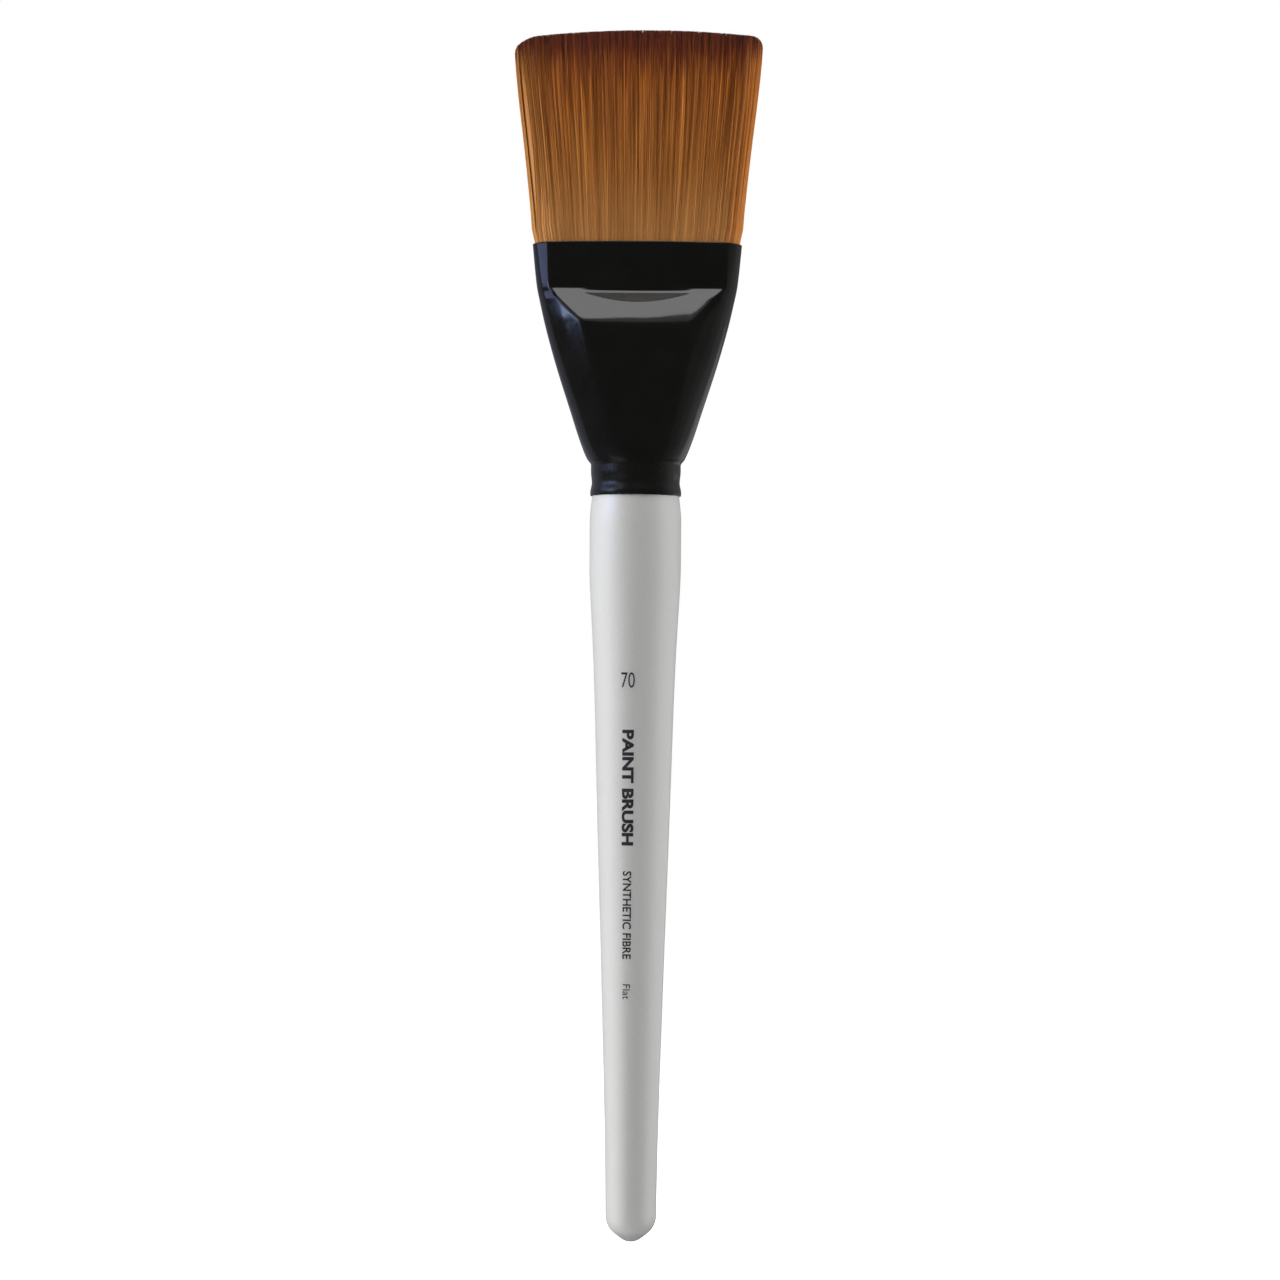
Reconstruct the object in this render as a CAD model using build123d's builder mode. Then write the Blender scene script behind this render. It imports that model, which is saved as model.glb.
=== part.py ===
"""Flat wash brush, 70 mm: lacquered wooden handle, pressed metal ferrule, flexing filament tuft.

Millimetres. +Z runs along the brush from the butt of the handle to the tips of the filaments,
+X across the flat of the tuft, and the flat faces look along -Y and +Y. The origin is on the
axis, at the middle of the cylindrical grip belt below the ferrule, where a clip holds the brush.
"""

import os
from math import cos, radians, sin, sqrt, tan

from build123d import *

os.makedirs("parts", exist_ok=True)

# ---- driving dimensions along the brush ------------------------------------------------------
HANDLE_SHOWN = 252.6  # butt to ferrule rim
FERRULE_LENGTH = 85.8
TUFT_LENGTH = 72.0
GRIP_HEIGHT = 237.0  # butt to the middle of the grip belt

# ---- handle ----------------------------------------------------------------------------------
GRIP_RADIUS = 15.5
GRIP_LENGTH = 14.0
NOSE_RADIUS = 5.8
NOSE_SLOPE_DEG = 38.0
BUTT_EDGE_RADIUS = 7.45
BUTT_RADIUS = 8.64
BUTT_HEIGHT = 12.0
# Side of the stick below the grip: height above the butt, radius.
WAIST = ((48.0, 9.32), (116.0, 11.38), (142.0, 12.22), (184.0, 13.44), (210.0, 14.62))
SHOULDER = (10.6, 15.3)  # height above the middle of the grip belt, radius
TENON_RADIUS = 14.2
TENON_LENGTH = 25.0
TENON_CHAMFER = 1.5

# ---- ferrule ---------------------------------------------------------------------------------
WALL = 0.5
MOUTH_WIDTH = 71.0
MOUTH_DEPTH = 13.0
CRIMP_TO_MOUTH = 15.8  # height of the flat pressed panel
CRIMP_SLOPE_DEG = 28.0  # slope of the step below the panel, away from the axis
RIM_RADIUS = 15.42
RIM_LIP = 1.2
GROOVE_RADIUS = 14.9
GROOVE_HEIGHT = 4.5  # heights above the rim
NECK_RADIUS = 15.22
SHOULDER_HEIGHT = 8.2
NECK_HEIGHT = 11.0
CONE_START = 0.04  # the cone leaves the neck this far inside its edge
ROUND = 0.5523  # fullness of an oval that makes it a circle or an ellipse; more is boxier
# Cone above the neck: height above the rim, half width, half depth, fullness.
CONE = (
    (15.9, 18.05, 15.9, 0.57),
    (29.4, 22.6, 15.3, 0.62),
    (46.4, 28.0, 14.0, 0.69),
    (59.9, 31.6, 12.7, 0.75),
    (72.4, 34.2, 11.4, 0.74),
    (FERRULE_LENGTH, MOUTH_WIDTH / 2, 9.0, 0.72),
)

# ---- adhesive, resin and filaments -----------------------------------------------------------
GLUE_THICKNESS = 0.12
SEAT_GAP = 0.02  # between pieces that are bonded together
RESIN_BOTTOM = 48.0  # heights above the rim
RESIN_FLOOR = 51.0
RESIN_TOP = 63.0
RESIN_SKIN = 1.0
FLEX_HEIGHT = 11.0  # pivot of the tuft above the mouth
KNUCKLE_RADIUS = 6.1
KNUCKLE_CLEARANCE = 0.35
STUB_DROP = 3.0  # the fixed filaments end this far below the pivot
STUB_START = 3.0  # the free-standing length of the roots grows out this far below the mouth
STUB_INSET = 0.4
STUB_SIDE_INSET = 1.0
# Free tuft: height above the mouth, half width, half depth.
TUFT = (
    (11.0, 36.4, KNUCKLE_RADIUS),
    (31.6, 38.75, 6.3),
    (50.0, 41.0, 4.9),
    (63.5, 42.25, 3.2),
    (73.5, 42.9, 1.9),
)
TIP_ARC_RADIUS = 338.0
TIP_ARC_OFFSET = 4.4  # the longest filaments are this far right of the axis
TIP_HALF_WIDTH = 42.3
BASE_HALF_WIDTH = 37.0
TIP_CORNERS = {0: 6.5, -1: 4.4}  # radii of the top corners, leftmost and rightmost

# ---- levels in the brush's own frame ---------------------------------------------------------
BUTT_Z = -GRIP_HEIGHT
RIM_Z = BUTT_Z + HANDLE_SHOWN
NECK_TOP_Z = RIM_Z + NECK_HEIGHT
MOUTH_Z = RIM_Z + FERRULE_LENGTH
CRIMP_Z = MOUTH_Z - CRIMP_TO_MOUTH
PIVOT_Z = MOUTH_Z + FLEX_HEIGHT
TIP_Z = MOUTH_Z + TUFT_LENGTH
BEYOND = 60.0  # more than half the width of the brush, for cutting shapes
CUT_MARGIN = 1.0  # cutting shapes reach this far past what they cut


def neck_curve(inset):
    """Side of the ferrule's neck in the XZ plane: rolled rim, groove, shoulder."""
    return Spline(
        (RIM_RADIUS - inset, RIM_Z + RIM_LIP),
        (GROOVE_RADIUS - inset, RIM_Z + GROOVE_HEIGHT),
        (NECK_RADIUS - inset, RIM_Z + SHOULDER_HEIGHT),
        (NECK_RADIUS - inset, NECK_TOP_Z),
        tangents=((0, 1), (0, 1)),
    )


def oval(level, half_width, half_depth, fullness):
    """Closed oval of four matching curves, between an ellipse and a rounded rectangle."""
    ends = [(half_width, 0), (0, half_depth), (-half_width, 0), (0, -half_depth)]
    with BuildSketch(Plane.XY.offset(level)) as section:
        with BuildLine():
            for start, end in zip(ends, ends[1:] + ends[:1]):
                corner = Vector(start) + Vector(end)
                Bezier(
                    start,
                    Vector(start) + (corner - Vector(start)) * fullness,
                    Vector(end) + (corner - Vector(end)) * fullness,
                    end,
                )
        make_face()
    return section.sketch


def ferrule_form(inset):
    """Solid form of the ferrule: inset 0 is its outside, inset WALL is its inside."""
    slope = tan(radians(CRIMP_SLOPE_DEG))
    jaw = MOUTH_DEPTH / 2 - inset
    jaw_corner = CRIMP_Z - inset * (sqrt(1 + slope**2) - 1) / slope
    start_radius = NECK_RADIUS - CONE_START - inset
    with BuildPart() as form:
        with BuildSketch(Plane.XZ):
            with BuildLine():
                neck = neck_curve(inset)
                Polyline(neck @ 0, (RIM_RADIUS - inset, RIM_Z), (0, RIM_Z), (0, NECK_TOP_Z), neck @ 1)
            make_face()
        revolve(axis=Axis.Z)
        sections = [oval(NECK_TOP_Z, start_radius, start_radius, ROUND)]
        for height, half_width, half_depth, fullness in CONE:
            sections.append(oval(RIM_Z + height, half_width - inset, half_depth - inset, fullness))
        loft(sections)
        # The jaws of the press: flat above the crimp line, sloping outwards below it.
        with BuildSketch(Plane.YZ):
            with BuildLine():
                Polyline(
                    (jaw, MOUTH_Z + CUT_MARGIN),
                    (jaw, jaw_corner),
                    (jaw + slope * BEYOND, jaw_corner - BEYOND),
                    (jaw + slope * BEYOND, MOUTH_Z + CUT_MARGIN),
                    close=True,
                )
            make_face()
            mirror(about=Plane.YZ)
        extrude(amount=BEYOND, both=True, mode=Mode.SUBTRACT)
    return form.part


def keep_between(bottom, top):
    """Keep only the length of the part between two levels."""
    with BuildSketch(Plane.XY.offset(bottom)) as block:
        Rectangle(2 * BEYOND, 2 * BEYOND)
    extrude(block.sketch, amount=top - bottom, mode=Mode.INTERSECT)


def stadium(level, half_width, half_depth):
    """Cross-section of the tuft."""
    with BuildSketch(Plane.XY.offset(level)) as section:
        SlotOverall(2 * half_width, 2 * half_depth)
    return section.sketch


def tip_level(x):
    """Height of the long arc that the tips lie on."""
    return TIP_Z - TIP_ARC_RADIUS + sqrt(TIP_ARC_RADIUS**2 - (x - TIP_ARC_OFFSET) ** 2)


def pivot_cylinder(radius, mode):
    """Cylinder along the line that the tuft bends about."""
    with BuildSketch(Plane.YZ) as section:
        with Locations((0, PIVOT_Z)):
            Circle(radius)
    extrude(section.sketch, amount=BEYOND, both=True, mode=mode)


# ---- handle: turned wood, with a tenon grooved for the ferrule's neck ------------------------
with BuildPart() as handle:
    tangent_radius = NOSE_RADIUS * sin(radians(NOSE_SLOPE_DEG))
    tangent_height = NOSE_RADIUS * (1 - cos(radians(NOSE_SLOPE_DEG)))
    cone_height = (BUTT_RADIUS - tangent_radius) * tan(radians(NOSE_SLOPE_DEG))
    tenon_end = RIM_Z + TENON_LENGTH
    with BuildSketch(Plane.XZ):
        with BuildLine():
            nose = TangentArc((0, BUTT_Z), (tangent_radius, BUTT_Z + tangent_height), tangent=(1, 0))
            FilletPolyline(
                nose @ 1,
                (BUTT_RADIUS, nose.position_at(1).Y + cone_height),
                (BUTT_RADIUS, BUTT_Z + BUTT_HEIGHT),
                radius=BUTT_EDGE_RADIUS,
            )
            side = Spline(
                (BUTT_RADIUS, BUTT_Z + BUTT_HEIGHT),
                *[(radius, BUTT_Z + height) for height, radius in WAIST],
                (GRIP_RADIUS, -GRIP_LENGTH / 2),
                tangents=((0.01, 1), (0, 1)),
            )
            tenon = neck_curve(WALL + GLUE_THICKNESS + 2 * SEAT_GAP)
            shoulder = Spline(
                (GRIP_RADIUS, GRIP_LENGTH / 2),
                (SHOULDER[1], SHOULDER[0]),
                tenon @ 0,
                tangents=((0, 1), (0, 1)),
            )
            Line(side @ 1, shoulder @ 0)
            Polyline(
                tenon @ 1,
                (TENON_RADIUS, tenon_end - TENON_CHAMFER),
                (TENON_RADIUS - TENON_CHAMFER, tenon_end),
                (0, tenon_end),
                (0, BUTT_Z),
            )
        make_face()
    revolve(axis=Axis.Z)
handle.part.label = "handle"
export_step(handle.part, "parts/handle.step")

# ---- ferrule: one drawn sleeve, its mouth pressed flat ---------------------------------------
outside = ferrule_form(0)
inside = ferrule_form(WALL)
with BuildPart() as ferrule:
    add(outside)
    add(inside, mode=Mode.SUBTRACT)
ferrule.part.label = "ferrule"
export_step(ferrule.part, "parts/ferrule.step")

# ---- neck adhesive: thin sleeve between the tenon and the neck -------------------------------
with BuildPart() as neck_adhesive:
    with BuildSketch(Plane.XZ):
        with BuildLine():
            outer = neck_curve(WALL + SEAT_GAP)
            inner = neck_curve(WALL + SEAT_GAP + GLUE_THICKNESS)
            Line(outer @ 0, inner @ 0)
            Line(outer @ 1, inner @ 1)
        make_face()
    revolve(axis=Axis.Z)
neck_adhesive.part.label = "neck_adhesive"
export_step(neck_adhesive.part, "parts/neck_adhesive.step")

# ---- resin plug: set epoxy that holds the roots, a floor with a thin skin up the wall --------
resin_form = ferrule_form(WALL + SEAT_GAP)
root_form = ferrule_form(WALL + RESIN_SKIN)
with BuildPart() as resin_pocket:
    add(root_form)
    keep_between(RIM_Z + RESIN_FLOOR, RIM_Z + RESIN_TOP + CUT_MARGIN)
with BuildPart() as resin_plug:
    add(resin_form)
    keep_between(RIM_Z + RESIN_BOTTOM, RIM_Z + RESIN_TOP)
    add(resin_pocket.part, mode=Mode.SUBTRACT)
resin_plug.part.label = "resin_plug"
export_step(resin_plug.part, "parts/resin_plug.step")

# ---- filament roots: the fixed length of the filaments, from the resin to just past the mouth
with BuildPart() as root_pack:
    add(ferrule_form(WALL + RESIN_SKIN + SEAT_GAP))
    keep_between(RIM_Z + RESIN_FLOOR + SEAT_GAP, RIM_Z + RESIN_TOP + SEAT_GAP)
with BuildPart() as upper_pack:
    add(resin_form)
    keep_between(RIM_Z + RESIN_TOP + SEAT_GAP, MOUTH_Z - STUB_INSET)
with BuildPart() as filament_roots:
    stub_half_depth = MOUTH_DEPTH / 2 - WALL - STUB_INSET
    stub_half_width = MOUTH_WIDTH / 2 - WALL - STUB_SIDE_INSET
    top_half_width = TUFT[0][1] - STUB_SIDE_INSET
    stub_foot = stadium(MOUTH_Z - STUB_START, stub_half_width, stub_half_depth)
    stub_top = stadium(PIVOT_Z - STUB_DROP, top_half_width, KNUCKLE_RADIUS - STUB_INSET)
    loft([stub_foot, stub_top])
    add(upper_pack.part)
    add(root_pack.part)
    pivot_cylinder(KNUCKLE_RADIUS + KNUCKLE_CLEARANCE, Mode.SUBTRACT)
filament_roots.part.label = "filament_roots"
export_step(filament_roots.part, "parts/filament_roots.step")

# ---- filament tuft: the free length, bending about a rounded lower end -----------------------
with BuildPart() as knuckle:
    extrude(stadium(PIVOT_Z - KNUCKLE_RADIUS, TUFT[0][1], KNUCKLE_RADIUS), amount=KNUCKLE_RADIUS)
    pivot_cylinder(KNUCKLE_RADIUS, Mode.INTERSECT)
with BuildPart() as filament_tuft:
    loft([stadium(MOUTH_Z + height, width, depth) for height, width, depth in TUFT])
    # Chisel tip: a long arc with rounded corners, seen from the front.
    with BuildSketch(Plane.XZ) as front:
        with BuildLine():
            arc_middle = (TIP_ARC_OFFSET, TIP_Z)
            left_top, right_top = [(x, tip_level(x)) for x in (-TIP_HALF_WIDTH, TIP_HALF_WIDTH)]
            ThreePointArc(left_top, arc_middle, right_top)
            Polyline(left_top, (-BASE_HALF_WIDTH, PIVOT_Z), (BASE_HALF_WIDTH, PIVOT_Z), right_top)
        make_face()
        for place, radius in TIP_CORNERS.items():
            top_corners = front.vertices().filter_by(lambda corner: corner.Y > PIVOT_Z + CUT_MARGIN)
            fillet(top_corners.sort_by(Axis.X)[place], radius)
    extrude(amount=BEYOND, both=True, mode=Mode.INTERSECT)
    add(knuckle.part)
filament_tuft.part.label = "filament_tuft"
export_step(filament_tuft.part, "parts/filament_tuft.step")
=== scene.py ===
"""Looks of a flat wash brush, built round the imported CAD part.

The CAD handle and neck adhesive stay and get better materials. The pressed ferrule shell, its resin
fill, a tuft of separate filaments round a core, and the printed lettering are made here.
Lengths inside the shape functions are in millimetres; every mesh is written in metres.
"""

import math

import bpy
import bmesh
import numpy as np
from mathutils import Matrix, Vector


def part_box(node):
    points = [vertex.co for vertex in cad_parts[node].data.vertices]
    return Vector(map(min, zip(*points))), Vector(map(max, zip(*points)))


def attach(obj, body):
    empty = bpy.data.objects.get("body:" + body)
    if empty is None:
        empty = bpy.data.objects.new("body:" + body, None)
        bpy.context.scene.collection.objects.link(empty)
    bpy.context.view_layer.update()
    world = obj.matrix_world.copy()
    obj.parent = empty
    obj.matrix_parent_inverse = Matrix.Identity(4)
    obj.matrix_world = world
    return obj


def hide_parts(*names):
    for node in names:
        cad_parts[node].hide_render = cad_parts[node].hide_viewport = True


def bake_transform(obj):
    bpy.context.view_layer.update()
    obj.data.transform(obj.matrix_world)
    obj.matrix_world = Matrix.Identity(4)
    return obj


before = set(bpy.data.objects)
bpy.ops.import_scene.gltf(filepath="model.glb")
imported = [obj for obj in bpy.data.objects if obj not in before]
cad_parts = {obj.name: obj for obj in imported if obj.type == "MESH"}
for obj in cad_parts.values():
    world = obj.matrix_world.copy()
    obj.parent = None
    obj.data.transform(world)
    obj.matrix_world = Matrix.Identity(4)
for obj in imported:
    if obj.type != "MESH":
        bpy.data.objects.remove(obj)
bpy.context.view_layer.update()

MM = 0.001
HANDLE_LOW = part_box("handle")[0]
FERRULE_LOW, FERRULE_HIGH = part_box("ferrule")
BUTT_Z = HANDLE_LOW.z / MM
RIM_Z = FERRULE_LOW.z / MM
MOUTH_Z = FERRULE_HIGH.z / MM
TIP_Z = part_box("filament_tuft")[1].z / MM
TUFT_LENGTH = TIP_Z - MOUTH_Z
FERRULE_LENGTH = MOUTH_Z - RIM_Z
UV_MAP = "OFBake"
rng = np.random.default_rng(7)


# ---- small helpers -----------------------------------------------------------------------------
def smooth_curve(x, knots, values):
    """Monotone cubic through the knots."""
    knots, values = np.asarray(knots, float), np.asarray(values, float)
    step = np.diff(knots)
    rise = np.diff(values) / step
    slope = np.zeros(len(knots))
    for i in range(1, len(knots) - 1):
        if rise[i - 1] * rise[i] > 0:
            a, b = 2 * step[i] + step[i - 1], step[i] + 2 * step[i - 1]
            slope[i] = (a + b) / (a / rise[i - 1] + b / rise[i])
    slope[0], slope[-1] = rise[0], rise[-1]
    x = np.clip(np.asarray(x, float), knots[0], knots[-1])
    i = np.clip(np.searchsorted(knots, x, side="right") - 1, 0, len(step) - 1)
    t = (x - knots[i]) / step[i]
    return (
        values[i] * (1 + 2 * t) * (1 - t) ** 2
        + slope[i] * step[i] * t * (1 - t) ** 2
        + values[i + 1] * t * t * (3 - 2 * t)
        + slope[i + 1] * step[i] * t * t * (t - 1)
    )


def smoothstep(x, start, end):
    """0 up to the start and 1 past the end; the end may be below the start."""
    t = np.clip((x - start) / (end - start), 0, 1)
    return t * t * (3 - 2 * t)


def soft_min(a, b, width):
    """The smaller of two lengths, rounded where they meet."""
    h = np.clip(0.5 + 0.5 * (b - a) / width, 0, 1)
    return b * (1 - h) + a * h - width * h * (1 - h)


def ring_faces(rows, columns):
    """Quads between closed rings of equally many points."""
    return [
        (
            r * columns + c,
            r * columns + (c + 1) % columns,
            (r + 1) * columns + (c + 1) % columns,
            (r + 1) * columns + c,
        )
        for r in range(rows - 1)
        for c in range(columns)
    ]


def link_object(name, data):
    made = bpy.data.objects.new(name, data)
    bpy.context.scene.collection.objects.link(made)
    return made


def new_mesh(name, points_mm, faces, uv=None):
    """A smooth-shaded mesh object in the row frame; uv gives one (u, v) for each vertex."""
    mesh = bpy.data.meshes.new(name)
    mesh.from_pydata((np.asarray(points_mm) * MM).tolist(), [], [tuple(f) for f in faces])
    mesh.polygons.foreach_set("use_smooth", [True] * len(mesh.polygons))
    if uv is not None:
        corner = np.zeros(len(mesh.loops), np.int32)
        mesh.loops.foreach_get("vertex_index", corner)
        layer = mesh.uv_layers.new(name=UV_MAP)
        layer.data.foreach_set("uv", np.asarray(uv, np.float32)[corner].ravel())
    mesh.update()
    return link_object(name, mesh)


def dress(piece, material):
    piece.data.materials.clear()
    piece.data.materials.append(material)


# ---- materials ---------------------------------------------------------------------------------
NOISE_LOW, NOISE_HIGH = 0.3, 0.7  # most values of a noise lie between these


class Surface:
    """A Principled material with short ways to add texture nodes."""

    def __init__(self, name, **sockets):
        self.material = bpy.data.materials.new(name)
        self.material.use_nodes = True
        self.tree = self.material.node_tree
        self.shader = self.tree.nodes["Principled BSDF"]
        for socket, value in sockets.items():
            self.shader.inputs[socket.replace("_", " ")].default_value = value

    def node(self, kind, **settings):
        made = self.tree.nodes.new(kind)
        for key, value in settings.items():
            if key in made.inputs:
                made.inputs[key].default_value = value
            else:
                setattr(made, key, value)
        return made

    def link(self, out, into):
        self.tree.links.new(out, into)

    def place(self, uv=False, scale=(1, 1, 1)):
        """Object coordinates in metres, or the filament map, times a scale."""
        mapping = self.node("ShaderNodeMapping", Scale=scale)
        if uv:
            source = self.node("ShaderNodeUVMap", uv_map=UV_MAP).outputs["UV"]
        else:
            source = self.node("ShaderNodeTexCoord").outputs["Object"]
        self.link(source, mapping.inputs["Vector"])
        return mapping.outputs["Vector"]

    def split(self, vector):
        """The x, y and z of a vector."""
        made = self.node("ShaderNodeSeparateXYZ")
        self.link(vector, made.inputs["Vector"])
        return made.outputs

    def noise(self, vector, scale, detail=2.0):
        made = self.node("ShaderNodeTexNoise", Scale=scale, Detail=detail)
        self.link(vector, made.inputs["Vector"])
        return made.outputs["Fac"]

    def ramp(self, factor, stops):
        made = self.node("ShaderNodeValToRGB")
        elements = made.color_ramp.elements
        while len(elements) < len(stops):
            elements.new(0.5)
        for element, (position, colour) in zip(elements, stops):
            element.position = position
            element.color = (*colour, 1)
        self.link(factor, made.inputs["Fac"])
        return made.outputs["Color"]

    def tint(self, noise, low, high):
        """A colour between two others, by a noise."""
        return self.ramp(noise, ((NOISE_LOW, low), (NOISE_HIGH, high)))

    def fit(self, value, low, high, to_low, to_high):
        """A value that goes from to_low to to_high while another goes from low to high."""
        limits = {"From Min": low, "From Max": high, "To Min": to_low, "To Max": to_high}
        made = self.node("ShaderNodeMapRange", **limits)
        self.link(value, made.inputs["Value"])
        return made.outputs["Result"]

    def spread(self, noise, low, high):
        """A value between two others, by a noise."""
        return self.fit(noise, NOISE_LOW, NOISE_HIGH, low, high)

    def math(self, operation, a, b):
        made = self.node("ShaderNodeMath", operation=operation)
        for socket, value in zip(made.inputs, (a, b)):
            self.set_or_link(socket, value)
        return made.outputs["Value"]

    def mix(self, factor, a, b, blend="MIX"):
        made = self.node("ShaderNodeMix", data_type="RGBA", blend_type=blend)
        for socket, value in zip((made.inputs[0], made.inputs[6], made.inputs[7]), (factor, a, b)):
            self.set_or_link(socket, value)
        return made.outputs[2]

    def set_or_link(self, socket, value):
        if isinstance(value, (int, float, tuple)):
            socket.default_value = value
        else:
            self.link(value, socket)

    def bump(self, height, distance, strength):
        made = self.node("ShaderNodeBump", Strength=strength, Distance=distance)
        self.link(height, made.inputs["Height"])
        self.link(made.outputs["Normal"], self.shader.inputs["Normal"])

    def feed(self, socket, value):
        self.link(value, self.shader.inputs[socket])


def lacquer_surface():
    """Pearl white lacquer: fine flakes in a satin coat, faint orange peel."""
    s = Surface("pearl_lacquer", Metallic=0.14, Coat_Weight=0.35, Coat_Roughness=0.18)
    where = s.place()
    flakes = s.noise(where, 2600, detail=1)
    cloud = s.noise(where, 60, detail=3)
    orange_peel = s.noise(where, 380)
    pearl = s.ramp(flakes, ((0.35, (0.60, 0.60, 0.60)), (0.65, (0.645, 0.645, 0.64))))
    veil = (0.61, 0.61, 0.602, 1)
    s.feed("Base Color", s.mix(s.spread(cloud, 0.0, 0.25), pearl, veil))
    s.feed("Roughness", s.spread(cloud, 0.36, 0.43))
    s.bump(orange_peel, distance=0.00002, strength=0.3)
    return s.material


def enamel_surface():
    """Gloss black enamel with slow waves from dipping, duller round the neck, where it is handled."""
    s = Surface("black_enamel", Specular_IOR_Level=0.5)
    where = s.place()
    waves = s.noise(where, 90)
    fine = s.noise(where, 900)
    s.feed("Base Color", s.tint(waves, (0.0025, 0.0024, 0.0022), (0.005, 0.0048, 0.0045)))
    haze_top = (RIM_Z + NECK_TOP) * MM
    haze = s.fit(s.split(where)["Z"], haze_top, haze_top + HAZE_FADE * MM, NECK_HAZE, 0.0)
    s.feed("Roughness", s.math("ADD", s.spread(fine, 0.10, 0.16), haze))
    s.bump(waves, distance=0.0003, strength=0.35)
    return s.material


# Colours of a filament by its share of the way from the ferrule's mouth to the tips.
GOLD = (
    (0.0, (0.65, 0.300, 0.087)),
    (0.35, (0.55, 0.204, 0.0355)),
    (0.75, (0.40, 0.113, 0.0122)),
    (1.0, (0.255, 0.057, 0.0071)),
)
# What the gold is multiplied by, from the shaded filaments to those that catch the light.
STREAKS = (
    (0.40, (0.36, 0.29, 0.22)),
    (0.50, (1.0, 1.0, 1.0)),
    (0.60, (1.85, 2.1, 2.4)),
)
# The dipped ends, from the shaded filaments to the others.
MAROON = (
    (0.42, (0.042, 0.007, 0.0045)),
    (0.58, (0.225, 0.040, 0.016)),
)
BROWN_CAST = (0.36, 0.115, 0.02, 1)  # in slow patches
# Painted light at the right and left edges: a warmer, brighter tint that stands in for side light shining
# through the filaments there. Places across between which it grows, its share, its colour.
PAINTED_EDGE_LIGHT = (
    (0.92, 0.955, 0.6, (0.76, 0.27, 0.052, 1)),
    (0.13, 0.03, 0.55, (0.42, 0.185, 0.04, 1)),
)
DIP = (0.85, 0.93)  # shares of the length between which gold turns into maroon


def filament_surface():
    """Golden synthetic filaments, dipped maroon at the tips, each with its own shade.

    The map runs across the tuft in x, and from the mouth to the tips in y.
    """
    s = Surface("filament_gold", Specular_IOR_Level=0.25)
    place = s.split(s.place(uv=True))
    across, along = place["X"], place["Y"]
    fine = s.noise(s.place(uv=True, scale=(260, 1.6, 1)), 1.0, detail=1)
    broad = s.noise(s.place(uv=True, scale=(135, 1.1, 1)), 1.0)
    slow = s.noise(s.place(uv=True, scale=(9, 1.2, 1)), 1.0, detail=1)
    streak = s.math("ADD", s.math("MULTIPLY", fine, 0.35), s.math("MULTIPLY", broad, 0.65))
    plain = s.ramp(along, GOLD)
    streaked = s.mix(1.0, plain, s.ramp(streak, STREAKS), "MULTIPLY")
    golden = s.mix(s.fit(along, 0.0, 0.8, 0.0, 1.0), plain, streaked)
    golden = s.mix(s.fit(slow, 0.35, 0.65, 0.0, 0.35), golden, BROWN_CAST)
    # Painted light: both edges of the tuft are tinted warmer and brighter, as if side light shone through
    # them.
    for start, end, share, colour in PAINTED_EDGE_LIGHT:
        golden = s.mix(s.fit(across, start, end, 0.0, share), golden, colour)
    ragged = s.math("ADD", along, s.math("SUBTRACT", broad, 0.5))
    dipped = s.fit(ragged, *DIP, 0.0, 1.0)
    s.feed("Base Color", s.mix(dipped, golden, s.ramp(streak, MAROON)))
    s.feed("Roughness", s.spread(broad, 0.42, 0.58))
    return s.material


def ink_surface():
    """Black printing ink, a little worn."""
    s = Surface("print_ink", Specular_IOR_Level=0.4)
    worn = s.noise(s.place(), 3000)
    s.feed("Base Color", s.tint(worn, (0.012, 0.012, 0.014), (0.035, 0.035, 0.038)))
    s.feed("Roughness", s.spread(worn, 0.4, 0.6))
    return s.material


def amber_surface(name, dark, light, smooth, rough):
    """Cured resin or adhesive, cloudy between two colours and two roughnesses."""
    s = Surface(name, Specular_IOR_Level=0.5)
    cloud = s.noise(s.place(), 350, detail=3)
    s.feed("Base Color", s.tint(cloud, dark, light))
    s.feed("Roughness", s.spread(cloud, smooth, rough))
    s.bump(cloud, distance=0.0001, strength=0.4)
    return s.material


# ---- CAD nodes that stay -----------------------------------------------------------------------
def dress_cad_nodes():
    adhesive = amber_surface("adhesive_amber", (0.28, 0.17, 0.07), (0.42, 0.28, 0.13), 0.5, 0.65)
    dress(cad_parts["handle"], lacquer_surface())
    dress(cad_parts["neck_adhesive"], adhesive)


dress_cad_nodes()


# ---- ferrule, with heights above its rim -------------------------------------------------------
WALL = 0.5
LIP_FLARE = 0.15  # how much the inner wall opens at both ends
JAW = 6.5  # half the depth of the pressed panel
CRIMP = FERRULE_LENGTH - 15.8  # the panel's lower edge, where the sloping facet starts
CRIMP_BEND = 0.3  # softness of that edge
FACET_SLOPE = math.tan(math.radians(28))
JAW_LOW = 21.0  # the jaws press nothing below this height

NECK_TOP = 11.0
NECK_HAZE = 0.14  # roughness that handling adds to the neck's enamel
HAZE_FADE = 6.0  # and the height above the neck over which it fades

# The jaws' crown leaves a shallow lens in the facet. Its lower edge is LENS_REACH below the crimp in
# the middle, and less towards its sides. Its depth is LENS_TILT of the height above that edge, but
# doesn't grow over the uppermost LENS_TOP.
LENS_TOP = 1.7
LENS_REACH = 5.2
LENS_HALF_WIDTH = 23.0
LENS_TILT = 0.17
LENS_EDGE = (0.1, 0.9)  # it starts softly between these distances below the crimp

MOUTH_ARCH = 0.5  # the mouth is this much lower at its sides
MOUTH_HALF_WIDTH = 35.5
ARCH_START = CRIMP + 2

# The rim, the groove and the neck are round: height and radius.
RIM_TO_NECK = ((0, 15.40), (1.1, 15.42), (4.5, 14.9), (8.2, 15.22), (10.5, 15.22))
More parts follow.
